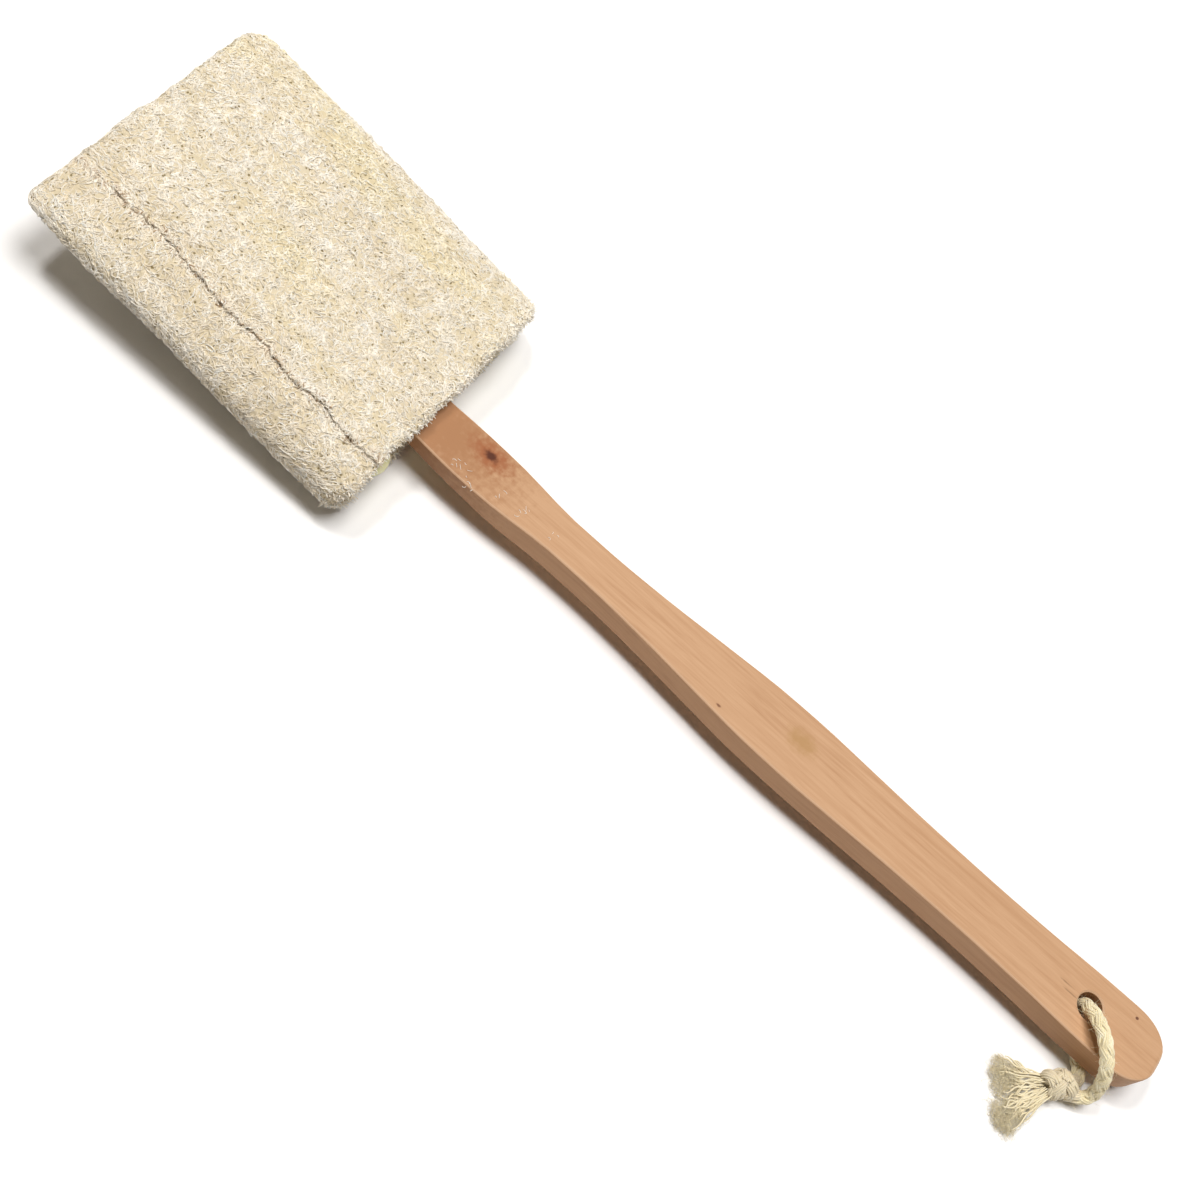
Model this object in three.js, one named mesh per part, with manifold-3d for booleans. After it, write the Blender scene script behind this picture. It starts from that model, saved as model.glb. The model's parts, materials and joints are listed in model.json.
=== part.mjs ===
// Loofah back scrubber: a loofah pouch on a foam core, a wooden handle whose tang runs inside the core,
// and a cotton hanging cord tied through the handle's end.
// Millimetres, +Z up. The origin is under the middle of the scrubber, on the surface it lies on, and +X runs
// from the head to the handle's tip. Inside the main group, x = 0 is where the handle leaves the head and
// y = 0 is the handle's centre line.
import * as THREE from "three";
import { mergeVertices } from "three/addons/utils/BufferGeometryUtils.js";
import Module from "manifold-3d";

const wasm = await Module();
wasm.setup();

// Driving dimensions
const HANDLE_LENGTH = 322; // from the head to the tip
const TANG_LENGTH = 95; // hidden in the head
const HEAD_LENGTH = 137;
const HEAD_WIDTH = 110;
const HEAD_THICKNESS = 27; // at the open end
const FAR_THICKNESS = 11.5; // at the pressed end
const HEAD_PITCH = THREE.MathUtils.degToRad(6.9); // the far end is raised
const HEAD_SIDE_OFFSET = 8.4; // the handle enters the head off its middle
const HEAD_SETBACK = 2; // the head's open end ends this far behind x = 0
const MOUTH_SAG = 1; // how far the two lower corners of the open end hang below its middle
const SAG_FROM_MIDDLE = 30; // across the head
const MOUTH_LOWEST = 14.17; // depth of those corners below the head's middle
const SHEET = 4.2; // loofah sheet thickness
const LIP = 2.9; // its outer edge, where it laps over itself
const LAP_END = 3.2; // its inner edge, under the lap
const LAP_GAP = 0.35;
const SEAM_INSET = 17.8; // from the head's near side to the lap's visible edge
const LAP_WIDTH = 12;
const FIT_GAP = 0.4; // between the soft pieces and their neighbours
const TOP_Z = 18.9; // the handle's flat top face
const UNDERSIDE_Z = 6.8; // its flat underside, held up by the cord beneath it
const ARRIS = 1; // round on the handle's long edges
const TIP_ARRIS = 2; // and on the edge of its tip
const END_ROUND = 16; // length of the rounded end
const HOLE_X = 291.7;
const HOLE_RADIUS = 4.9;
const HOLE_RIM = 0.6; // softened edge of the hole
const CORD_DIAMETER = 6.2;
const KNOT_RADII = [6.6, 5.8, 5.4];

// Full width, top and underside of the handle along its length: [x, value]
const WIDTHS = [
  [-TANG_LENGTH, 9],
  [-TANG_LENGTH + 5, 15],
  [-40, 17],
  [0, 19.6],
  [17, 20.8],
  [30, 20.3],
  [42, 18.4],
  [57, 15.8],
  [72, 15.8],
  [97, 17.8],
  [123, 21.9],
  [150, 25.6],
  [165, 26],
  [185, 24.9],
  [217, 23.2],
  [243, 22.9],
  [268, 23.7],
  [290, 25.4],
  [HANDLE_LENGTH - END_ROUND, 25.9],
];
const TOPS = [
  [-TANG_LENGTH, 27.6],
  [0, 20],
  [25, 19.1],
  [55, TOP_Z],
  [HANDLE_LENGTH, TOP_Z],
];
const UNDERSIDES = [
  [-TANG_LENGTH, 21],
  [0, 12.4],
  [22, 10.6],
  [42, 8.2],
  [57, 7.7],
  [160, 7.7],
  [205, UNDERSIDE_Z],
  [HANDLE_LENGTH, UNDERSIDE_Z],
];

// The cord's centre line from the knot, under the handle, up through the hole and over to the knot again:
// [x from the hole, y, z]
const CORD_ROUTE = [
  [14.4, -15.6, 3.5],
  [13.4, -12.4, 3.3],
  [11, -9.2, 3.25],
  [7.6, -6, 3.25],
  [3.9, -3.2, 3.35],
  [0.7, -1, 5.3],
  [-0.7, 0.1, 9.6],
  [-1.3, 0.5, 13.4],
  [-1, 0, 17.2],
  [0.2, -2.2, 20.8],
  [2.4, -5, 23.6],
  [5.7, -8.5, 25.3],
  [9.7, -12.3, 24.8],
  [13.7, -15.4, 21.8],
  [16.7, -17, 17.2],
  [18.7, -17.6, 12.4],
  [19.6, -18.3, 8.8],
  [19, -19.9, 6.5],
  [16.8, -21.4, 5.6],
];
const KNOT_CENTRE = [9, -22.9, 5.6];
const KNOT_HEADING = THREE.MathUtils.degToRad(-139.5);
// Frayed ends of the cord past the knot: start, end, and half width at each
const TAILS = {
  cord_tail_upper: { from: [2.9, -26.2], to: [-9, -34.2], spread: [2.3, 5.2] },
  cord_tail_lower: { from: [6.6, -29.2], to: [0, -45.6], spread: [2.3, 4.6] },
};
const TAIL_HEIGHT = 5.4;

const MATERIALS = {
  wood: new THREE.MeshStandardMaterial({ color: 0xd8ab87, roughness: 0.55, metalness: 0 }),
  loofah: new THREE.MeshStandardMaterial({ color: 0xe6dac2, roughness: 0.95, metalness: 0 }),
  foam: new THREE.MeshStandardMaterial({ color: 0xdcdcae, roughness: 0.9, metalness: 0 }),
  cotton: new THREE.MeshStandardMaterial({ color: 0xe8dfc4, roughness: 0.9, metalness: 0 }),
};

// A smooth curve through [x, value] keys that never overshoots them, so level stretches stay level.
function through(keys) {
  const slope = (i) => (keys[i + 1][1] - keys[i][1]) / (keys[i + 1][0] - keys[i][0]);
  const tangent = (i) => {
    if (i === 0) return slope(0);
    if (i === keys.length - 1) return slope(i - 1);
    const [before, after] = [slope(i - 1), slope(i)];
    return before * after <= 0 ? 0 : (2 * before * after) / (before + after);
  };
  return (x) => {
    let i = 0;
    while (i < keys.length - 2 && x > keys[i + 1][0]) i++;
    const span = keys[i + 1][0] - keys[i][0];
    const t = THREE.MathUtils.clamp((x - keys[i][0]) / span, 0, 1);
    const rise = keys[i + 1][1] - keys[i][1];
    return (
      keys[i][1] +
      rise * t * t * (3 - 2 * t) +
      span * t * (1 - t) * (tangent(i) * (1 - t) - tangent(i + 1) * t)
    );
  };
}

const MERGE_DISTANCE = 1e-4;

// Keeps only the positions, with shared vertices merged.
function bare(geometry) {
  geometry.deleteAttribute("normal");
  geometry.deleteAttribute("uv");
  return mergeVertices(geometry, MERGE_DISTANCE);
}

// A section drawn in the unit plane and swept from t = 0 to 1: place(u, v, t) gives each vertex its position.
function sweep(outline, steps, place) {
  const section = new THREE.Shape(outline);
  const geometry = new THREE.ExtrudeGeometry(section, { depth: 1, steps, bevelEnabled: false });
  const position = geometry.getAttribute("position");
  for (let i = 0; i < position.count; i++) {
    position.setXYZ(i, ...place(position.getX(i), position.getY(i), position.getZ(i)));
  }
  return bare(geometry);
}

function solidOf(geometry) {
  return new wasm.Manifold(
    new wasm.Mesh({
      numProp: 3,
      vertProperties: new Float32Array(geometry.getAttribute("position").array),
      triVerts: new Uint32Array(geometry.index.array),
    }),
  );
}

function geometryOf(solid) {
  const mesh = solid.getMesh();
  const geometry = new THREE.BufferGeometry();
  geometry.setAttribute("position", new THREE.BufferAttribute(mesh.vertProperties, 3));
  geometry.setIndex(new THREE.BufferAttribute(mesh.triVerts, 1));
  geometry.computeVertexNormals();
  return geometry;
}

function named(name, geometry, material) {
  const mesh = new THREE.Mesh(geometry, material);
  mesh.name = name;
  return mesh;
}

// How far a rounded edge of radius r stands back at distance d from the end it rounds.
function roundBack(d, r) {
  return d >= r ? 0 : r - Math.sqrt(r * r - (r - Math.max(d, 0)) ** 2);
}

// ---- Handle ----

const CORNER = 0.25; // corner round of the unit section, stretched to the arris by the sweep
const ARC_STEPS = 4;
const BLADE_STEPS = 50;
const END_STEPS = 12;
const END_SQUARENESS = 2.3;
const END_TURN = THREE.MathUtils.degToRad(87); // just short of a point
const HOLE_SIDES = 32;
const DRILL_OVERSHOOT = 2; // past both faces

function unitSection() {
  const points = [];
  for (let corner = 0; corner < 4; corner++) {
    const start = (corner * Math.PI) / 2;
    const sx = Math.SQRT2 * Math.cos(start + Math.PI / 4);
    const sy = Math.SQRT2 * Math.sin(start + Math.PI / 4);
    for (let i = 0; i <= ARC_STEPS; i++) {
      const angle = start + (i / ARC_STEPS) * (Math.PI / 2);
      points.push(
        new THREE.Vector2(
          sx * (1 - CORNER) + CORNER * Math.cos(angle),
          sy * (1 - CORNER) + CORNER * Math.sin(angle),
        ),
      );
    }
  }
  return points;
}

// The unit section's coordinate u on a face at `half`, with its corner stretched to radius r.
function onFace(u, half, r) {
  const round = Math.min(r, half);
  return Math.sign(u) * (half - round + ((Math.abs(u) - (1 - CORNER)) / CORNER) * round);
}

// The handle with its tang, grown by `clearance` on every side.
function handleShape(clearance) {
  const width = through(WIDTHS);
  const top = through(TOPS);
  const underside = through(UNDERSIDES);
  const endStart = HANDLE_LENGTH - END_ROUND;
  const bladeShare = BLADE_STEPS / (BLADE_STEPS + END_STEPS);
  return sweep(unitSection(), BLADE_STEPS + END_STEPS, (u, v, t) => {
    const along = Math.max(t - bladeShare, 0) / (1 - bladeShare);
    const turn = along * END_TURN;
    const x =
      t <= bladeShare
        ? THREE.MathUtils.lerp(-TANG_LENGTH, endStart, t / bladeShare)
        : endStart + END_ROUND * Math.sin(turn) ** (2 / END_SQUARENESS);
    const halfWidth = (width(x) / 2) * Math.cos(turn) ** (2 / END_SQUARENESS) + clearance;
    const back = roundBack(HANDLE_LENGTH - x, TIP_ARRIS);
    const halfHeight = (top(x) - underside(x)) / 2 - back + clearance;
    const middle = (top(x) + underside(x)) / 2;
    const arris = x < 0 ? ARRIS / 2 : ARRIS;
    const endShift = t === 0 ? -clearance : 0;
    return [x + endShift, onFace(u, halfWidth, arris), middle + onFace(v, halfHeight, arris)];
  });
}

// The drill that makes the cord's hole and softens both its rims.
function holeDrill() {
  const middle = (TOP_Z + UNDERSIDE_Z) / 2;
  const half = (TOP_Z - UNDERSIDE_Z) / 2;
  const rim = HOLE_RADIUS + HOLE_RIM;
  const past = DRILL_OVERSHOOT;
  const side = [
    [0, -half - past],
    [rim + past, -half - past],
    [rim, -half],
    [HOLE_RADIUS, -half + HOLE_RIM],
    [HOLE_RADIUS, half - HOLE_RIM],
    [rim, half],
    [rim + past, half + past],
    [0, half + past],
  ];
  const drill = new THREE.LatheGeometry(side.map(([r, y]) => new THREE.Vector2(r, y)), HOLE_SIDES);
  drill.rotateX(Math.PI / 2);
  drill.translate(HOLE_X, 0, middle);
  return bare(drill);
}

function woodenHandle() {
  return geometryOf(solidOf(handleShape(0)).subtract(solidOf(holeDrill())));
}

// ---- Head: modelled level, with its open end at x = 0 and its far end at x = -HEAD_LENGTH ----

const HALF_WIDTH = HEAD_WIDTH / 2;
const HALF_THICKNESS = HEAD_THICKNESS / 2;
const TOP_CROWN = 4; // higher is flatter across the middle
const UNDER_CROWN = 6;
const FOLD = 2.2; // roundness of the folded sides
const CORNER_ROUND = 8; // of the head's corners in plan
const SHARP_CORNER = 4; // and of the far corner on its near side
const SAG_WIDTH = 7;
const SAG_LENGTH = 10;
const SHEET_POINTS = 46;
const HEAD_STEPS = 18; // along the head
const WEB = { inset: 2, from: 0.6, to: 5, steps: 3, points: 40 }; // where the far edges are pressed together
const PAD = { from: 8, to: 3, points: 64 }; // the foam's distance from the far end and from the mouth
const LOBE_RADII = [4.8, 6.5, 2.6]; // of the bit of foam that shows at the mouth
const LOBE_CENTRE = [-2.6, -33, 1];
const BALL_DETAIL = [20, 12];

// A point of the pillow-shaped section at an angle from +Y, `inset` inside its outer surface.
function pillow(angle, inset) {
  const [c, s] = [Math.cos(angle), Math.sin(angle)];
  const crown = s >= 0 ? TOP_CROWN : UNDER_CROWN;
  const y = (HALF_WIDTH - inset) * Math.sign(c) * Math.abs(c) ** (2 / crown);
  const z = (HALF_THICKNESS - inset) * Math.sign(s) * Math.abs(s) ** (2 / FOLD);
  return new THREE.Vector2(y, z);
}

// The angle on the upper surface at y = -HALF_WIDTH + fromSide.
function upperAngle(fromSide) {
  return Math.PI - Math.acos((1 - fromSide / HALF_WIDTH) ** (TOP_CROWN / 2));
}

const SEAM_ANGLE = upperAngle(SEAM_INSET);
const LAP_ANGLE = upperAngle(SEAM_INSET + LAP_WIDTH);
const TURN = 2 * Math.PI;

// Share of the full thickness along the head: [x, value]
const thinning = through([
  [-HEAD_LENGTH, FAR_THICKNESS / HEAD_THICKNESS],
  [-HEAD_LENGTH + 12, 0.62],
  [-HEAD_LENGTH + 45, 0.93],
  [-40, 1],
  [0, 1],
]);

// How far the underside hangs down at local x and y: most at two places near the mouth's lower corners.
function mouthSag(x, y, z) {
  const across = (Math.abs(y) - SAG_FROM_MIDDLE) / SAG_WIDTH;
  const under = THREE.MathUtils.smoothstep(-z, 0, HALF_THICKNESS);
  return MOUTH_SAG * under * Math.exp(x / SAG_LENGTH - across * across);
}

// Places a section of the head, swept between two values of x, with rounded corners in plan.
function headPlace(from, to) {
  return (u, v, t) => {
    const x = THREE.MathUtils.lerp(from, to, 0.5 - 0.5 * Math.cos(Math.PI * t));
    const fromEnd = Math.min(x + HEAD_LENGTH, -x);
    const sharp = u < 0 && x < -HEAD_LENGTH / 2;
    const narrowing = 1 - roundBack(fromEnd, sharp ? SHARP_CORNER : CORNER_ROUND) / HALF_WIDTH;
    return [x, u * narrowing, v * thinning(x) - mouthSag(x, u, v)];
  };
}

const LIP_TAPER = 0.35; // angle over which the sheet thins to its lip
const LAP_EASE = [0.5, 0.2]; // angles over which the foam dips under the lap: start and end

// One sheet of loofah wrapped round the core from under the lap, once around, to the lip on top of the lap.
function wrapOutline() {
  const start = SEAM_ANGLE;
  const end = LAP_ANGLE - TURN;
  const outer = [];
  const inner = [];
  for (let i = 0; i <= SHEET_POINTS; i++) {
    const angle = THREE.MathUtils.lerp(start, end, i / SHEET_POINTS);
    const climb = THREE.MathUtils.smoothstep(-Math.PI - angle, 0, TURN - SEAM_ANGLE - Math.PI);
    const drop = (LIP + LAP_GAP) * climb;
    const atLip = 1 - THREE.MathUtils.smoothstep(LAP_ANGLE - angle, 0, LIP_TAPER);
    const thickness = SHEET + (LIP - SHEET) * atLip + (LAP_END - SHEET) * climb;
    outer.push(pillow(angle, drop));
    inner.push(pillow(angle, drop + thickness));
  }
  return [...outer, ...inner.reverse()];
}

function pillowOutline(count, insetAt) {
  return Array.from({ length: count }, (_, i) => {
    const angle = (i / count) * TURN;
    return pillow(angle, insetAt(angle));
  });
}

// The wrapped sheet and the web that closes it where its far edges are pressed together.
function loofahPouch() {
  const wrap = sweep(wrapOutline(), HEAD_STEPS, headPlace(-HEAD_LENGTH, 0));
  const between = headPlace(-HEAD_LENGTH + WEB.from, -HEAD_LENGTH + WEB.to);
  const web = sweep(pillowOutline(WEB.points, () => WEB.inset), WEB.steps, between);
  return geometryOf(solidOf(wrap).add(solidOf(web)));
}

// The foam pad fills the pouch, dips under the lap and is slit for the tang. A lobe of it shows at the mouth.
function foamCore() {
  const lap = LIP + LAP_GAP + LAP_END - SHEET;
  const insetAt = (angle) => {
    const into = THREE.MathUtils.smoothstep(angle, LAP_ANGLE - LAP_EASE[0], LAP_ANGLE - LAP_EASE[1]);
    const out = 1 - THREE.MathUtils.smoothstep(angle, SEAM_ANGLE + LAP_EASE[1], Math.PI);
    return SHEET + 2 * FIT_GAP + (lap + FIT_GAP) * Math.min(into, out);
  };
  const between = headPlace(-HEAD_LENGTH + PAD.from, -PAD.to);
  const pad = sweep(pillowOutline(PAD.points, insetAt), HEAD_STEPS, between);
  const lobe = new THREE.SphereGeometry(1, ...BALL_DETAIL);
  lobe.scale(...LOBE_RADII);
  lobe.translate(...LOBE_CENTRE);
  const slit = handleShape(FIT_GAP);
  slit.applyMatrix4(headMatrix().invert());
  return geometryOf(solidOf(pad).add(solidOf(bare(lobe))).subtract(solidOf(slit)));
}

// Where the level head stands in the main group: pitched up, with its open lower edge on the surface below.
function headMatrix() {
  const rise = MOUTH_LOWEST * Math.cos(HEAD_PITCH);
  return new THREE.Matrix4()
    .makeRotationY(HEAD_PITCH)
    .setPosition(-HEAD_SETBACK, HEAD_SIDE_OFFSET, rise);
}

// ---- Hanging cord ----

const CORD_SIDES = 10;
const CORD_STEPS = 48;
const TAIL_SIDES = 16;
const TAIL_STEPS = 6;
const TAIL_THINNING = 0.25; // share of its height that a tail loses towards its end
const TAIL_REST = 0.1; // above the surface

function circle(count, radius) {
  return Array.from({ length: count }, (_, i) => {
    const angle = (i / count) * TURN;
    return new THREE.Vector2(Math.cos(angle), Math.sin(angle)).multiplyScalar(radius);
  });
}

function cordLoop() {
  const points = CORD_ROUTE.map(([x, y, z]) => new THREE.Vector3(HOLE_X + x, y, z));
  const extrudePath = new THREE.CatmullRomCurve3(points);
  const section = new THREE.Shape(circle(CORD_SIDES, CORD_DIAMETER / 2));
  return bare(new THREE.ExtrudeGeometry(section, { extrudePath, steps: CORD_STEPS }));
}

function cordKnot() {
  const knot = new THREE.SphereGeometry(1, ...BALL_DETAIL);
  knot.scale(...KNOT_RADII);
  knot.rotateZ(KNOT_HEADING);
  knot.translate(HOLE_X + KNOT_CENTRE[0], KNOT_CENTRE[1], KNOT_CENTRE[2]);
  return bare(knot);
}

// A bundle of loose strands that fans out flat on the surface.
function frayedTail({ from, to, spread }) {
  const start = new THREE.Vector2(...from);
  const reach = new THREE.Vector2(...to).sub(start);
  const tail = sweep(circle(TAIL_SIDES, 1), TAIL_STEPS, (u, v, t) => {
    const half = THREE.MathUtils.lerp(spread[0], spread[1], t);
    const height = TAIL_HEIGHT * (1 - TAIL_THINNING * t);
    return [t * reach.length(), u * half, (height / 2) * (1 + v)];
  });
  tail.rotateZ(reach.angle());
  tail.translate(HOLE_X + start.x, start.y, TAIL_REST);
  return tail;
}

// ---- Assembly ----

const headReach = HEAD_LENGTH * Math.cos(HEAD_PITCH) + (FAR_THICKNESS / 2) * Math.sin(HEAD_PITCH);
const farX = -HEAD_SETBACK - headReach;
const scrubber = new THREE.Group();
scrubber.position.set(-(HANDLE_LENGTH + farX) / 2, -HEAD_SIDE_OFFSET, 0);

const head = new THREE.Group();
head.applyMatrix4(headMatrix());
head.add(named("loofah_pouch", loofahPouch(), MATERIALS.loofah));
head.add(named("foam_core", foamCore(), MATERIALS.foam));

scrubber.add(head);
scrubber.add(named("wooden_handle", woodenHandle(), MATERIALS.wood));
scrubber.add(named("hanging_cord", cordLoop(), MATERIALS.cotton));
scrubber.add(named("cord_knot", cordKnot(), MATERIALS.cotton));
for (const [name, tail] of Object.entries(TAILS)) {
  scrubber.add(named(name, frayedTail(tail), MATERIALS.cotton));
}

export default scrubber;
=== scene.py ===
"""The loofah back scrubber's looks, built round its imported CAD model.

Everything is in metres in the part's own frame, except where a comment or a factor MM says
millimetres. +X runs from the head to the handle's tip, +Z is up and the floor is z = 0.
"""

import json
import math

import bpy
import numpy as np
from mathutils import Matrix, Vector


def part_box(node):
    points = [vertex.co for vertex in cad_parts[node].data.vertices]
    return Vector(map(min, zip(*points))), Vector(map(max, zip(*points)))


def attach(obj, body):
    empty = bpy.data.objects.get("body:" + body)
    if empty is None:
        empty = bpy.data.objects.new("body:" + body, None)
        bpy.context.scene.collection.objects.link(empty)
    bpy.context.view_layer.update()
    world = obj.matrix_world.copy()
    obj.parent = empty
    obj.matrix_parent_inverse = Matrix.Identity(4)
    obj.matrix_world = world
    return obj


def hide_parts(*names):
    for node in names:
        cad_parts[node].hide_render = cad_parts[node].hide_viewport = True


MM = 0.001
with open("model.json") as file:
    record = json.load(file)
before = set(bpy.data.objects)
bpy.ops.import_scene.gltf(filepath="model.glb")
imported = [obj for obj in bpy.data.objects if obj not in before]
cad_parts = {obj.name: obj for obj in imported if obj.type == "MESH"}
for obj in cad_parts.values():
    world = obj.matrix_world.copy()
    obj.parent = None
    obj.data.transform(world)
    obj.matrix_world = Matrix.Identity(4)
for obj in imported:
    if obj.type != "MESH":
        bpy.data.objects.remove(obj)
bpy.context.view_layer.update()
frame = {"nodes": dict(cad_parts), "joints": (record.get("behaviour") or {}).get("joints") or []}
random = np.random.default_rng(7)

# ---- Places in the part ----

HINGE = np.array(frame["joints"][0]["pos_m"])  # on the axis of the cord's hole
HOLE = np.array([HINGE[0], HINGE[1], 0])
HANDLE_LENGTH = 322 * MM  # outside the head
HANDLE_START = np.array([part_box("wooden_handle")[1][0] - HANDLE_LENGTH, HINGE[1], 0])
HANDLE_TOPS = [[-95, 27.6], [0, 20], [25, 19.1], [55, 18.9], [322, 18.9]]  # mm from its start, and up

# The head is worked out level, in mm, with its open end at x = 0 and its far end at -HEAD_LENGTH,
# and then pitched up towards the far end.
HEAD_LENGTH = 137
HEAD_WIDTH = 110.6
HEAD_THICKNESS = 27
HEAD_PITCH = math.radians(6.9)
HEAD_ORIGIN = HANDLE_START + np.array([-2, 8.4, 14.07]) * MM
SHEET = 4.2  # thickness of the loofah
PLAN_CORNER = 8  # radius of the head's corners from above
SHARP_CORNER = 4  # and of the far corner on its near side

# ---- Camera: level with the handle's length, above its near side, and rolled ----

AIM = HANDLE_START + np.array([80.9, -4.9, 12]) * MM
DISTANCE = 0.649
ELEVATION = math.radians(58.5)
ROLL = math.radians(41.73)
LENS = 58.5
SENSOR_WIDTH = 36


def make_camera():
    back = Vector((0, -math.cos(ELEVATION), math.sin(ELEVATION)))
    level = Vector((1, 0, 0))
    rise = back.cross(level)
    right = level * math.cos(ROLL) + rise * math.sin(ROLL)
    up = rise * math.cos(ROLL) - level * math.sin(ROLL)
    data = bpy.data.cameras.new("camera")
    data.lens = LENS
    data.sensor_width = SENSOR_WIDTH
    camera = bpy.data.objects.new("camera", data)
    bpy.context.scene.collection.objects.link(camera)
    turn = Matrix((right, up, back)).transposed().to_4x4()
    camera.matrix_world = Matrix.Translation(Vector(AIM) + back * DISTANCE) @ turn
    bpy.context.scene.camera = camera


# ---- Points and meshes ----


def unit(vectors):
    return vectors / np.maximum(np.linalg.norm(vectors, axis=-1, keepdims=True), 1e-12)


def waves(points, wavelength, seed, count=7):
    """A smooth random value, mostly within -1 to 1, at each of an array of 2-D or 3-D points."""
    maker = np.random.default_rng(seed)
    total = 0
    for _ in range(count):
        heading = unit(maker.normal(size=points.shape[-1]))
        length = wavelength * maker.uniform(0.7, 1.4)
        total = total + np.sin(points @ heading * (2 * math.pi / length) + maker.uniform(0, 2 * math.pi))
    return total * math.sqrt(2 / count)


def through(keys, x):
    """A smooth curve through [x, value] keys that never overshoots them."""
    at, value = np.array(keys, float).T
    slope = np.diff(value) / np.diff(at)
    bend = np.zeros(len(at))
    same = slope[:-1] * slope[1:] > 0
    bend[1:-1][same] = 2 * slope[:-1][same] * slope[1:][same] / (slope[:-1] + slope[1:])[same]
    i = np.clip(np.searchsorted(at, x) - 1, 0, len(at) - 2)
    span = at[i + 1] - at[i]
    t = np.clip((x - at[i]) / span, 0, 1)
    ease = t * t * (3 - 2 * t)
    leave = bend[i] * span * t * (1 - t) ** 2
    arrive = bend[i + 1] * span * t * t * (1 - t)
    return value[i] * (1 - ease) + value[i + 1] * ease + leave - arrive


def spline(points, steps):
    """Evenly spaced points on a smooth curve through the given ones."""
    points = np.asarray(points, float)
    apart = np.sqrt(np.linalg.norm(np.diff(points, axis=0), axis=1))
    knots = np.concatenate([[0], np.cumsum(apart)])
    fine = np.linspace(0, knots[-1], steps * 8)
    slopes = np.gradient(points, knots, axis=0)
    i = np.clip(np.searchsorted(knots, fine) - 1, 0, len(points) - 2)
    span = (knots[i + 1] - knots[i])[:, None]
    t = (fine[:, None] - knots[i][:, None]) / span
    ease = t * t * (3 - 2 * t)
    curve = points[i] * (1 - ease) + points[i + 1] * ease
    curve += slopes[i] * span * t * (1 - t) ** 2 - slopes[i + 1] * span * t * t * (1 - t)
    run = np.concatenate([[0], np.cumsum(np.linalg.norm(np.diff(curve, axis=0), axis=1))])
    even = np.linspace(0, run[-1], steps)
    return np.stack([np.interp(even, run, axis) for axis in curve.T], axis=1)


def make_object(name, points, faces, values=None):
    """A smooth object of quads. values is {attribute name: one number for each point}."""
    mesh = bpy.data.meshes.new(name)
    mesh.vertices.add(len(points))
    mesh.vertices.foreach_set("co", np.asarray(points, np.float32).ravel())
    mesh.loops.add(faces.size)
    mesh.loops.foreach_set("vertex_index", faces.astype(np.int32).ravel())
    mesh.polygons.add(len(faces))
    mesh.polygons.foreach_set("loop_start", np.arange(0, faces.size, 4, dtype=np.int32))
    mesh.update(calc_edges=True)
    for attribute, numbers in (values or {}).items():
        layer = mesh.attributes.new(attribute, "FLOAT", "POINT")
        layer.data.foreach_set("value", np.asarray(numbers, np.float32).ravel())
    mesh.polygons.foreach_set("use_smooth", np.ones(len(mesh.polygons), bool))
    made = bpy.data.objects.new(name, mesh)
    bpy.context.scene.collection.objects.link(made)
    return made


def grid_faces(rows, columns):
    """Quads of a grid that closes round its columns."""
    index = np.arange(rows * columns).reshape(rows, columns)
    turned = np.roll(index, -1, axis=1)
    return np.stack([index[:-1], turned[:-1], turned[1:], index[1:]], axis=-1).reshape(-1, 4)


def side_frames(tangent):
    """Two directions square to each tangent, turning as little as they can along each line."""
    least = np.eye(3)[np.abs(tangent[:, 0]).argmin(axis=-1)]
    side = np.empty_like(tangent)
    current = np.cross(tangent[:, 0], least)
    for step in range(tangent.shape[1]):
        along = tangent[:, step]
        current = unit(current - (current * along).sum(-1, keepdims=True) * along)
        side[:, step] = current
    return side, np.cross(tangent, side)


def tubes(centres, radii, sides):
    """Points and faces of round threads. centres is (threads, steps, 3) and radii (threads, steps)."""
    count, steps, _ = centres.shape
    side, rise = side_frames(unit(np.gradient(centres, axis=1)))
    turn = np.arange(sides) * 2 * math.pi / sides
    ring = np.cos(turn)[:, None] * side[:, :, None] + np.sin(turn)[:, None] * rise[:, :, None]
    points = centres[:, :, None] + radii[:, :, None, None] * ring
    faces = grid_faces(steps, sides)
    shift = np.arange(count)[:, None, None] * steps * sides
    return points.reshape(-1, 3), (faces[None] + shift).reshape(-1, 4)


def tapered(count, steps, radius, tip=0.25):
    """Thread radii that fall to a fine tip at both ends."""
    along = np.linspace(0, 1, steps)
    shape = tip + (1 - tip) * np.clip(5 * np.minimum(along, 1 - along), 0, 1)
    return np.broadcast_to(np.reshape(radius, (-1, 1)) * shape, (count, steps))


def joined(parts):
    """Points and faces of several meshes as one."""
    points, faces, base = [], [], 0
    for some_points, some_faces in parts:
        points.append(some_points)
        faces.append(some_faces + base)
        base += len(some_points)
    return np.concatenate(points), np.concatenate(faces)


# ---- Materials ----

# Colour ramps are (position, colour) stops.
LOOFAH_CREAM = (
    (0.25, (0.88, 0.785, 0.63)),
    (0.45, (0.95, 0.88, 0.76)),
    (0.6, (0.92, 0.83, 0.665)),
    (0.8, (0.92, 0.825, 0.60)),
)
PALE_FIBRE = (0.98, 0.96, 0.90)
TAN_FIBRE = (0.74, 0.63, 0.42)
BROWNED_FIBRE = (0.36, 0.19, 0.06)
# Painted shade on the matted layer below the loose fibres, and deeper painted shade in its pits.
MAT_PAINTED_SHADE = (0.52, 0.42, 0.24)
PIT_PAINTED_SHADE = (0.22, 0.165, 0.07)
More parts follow.
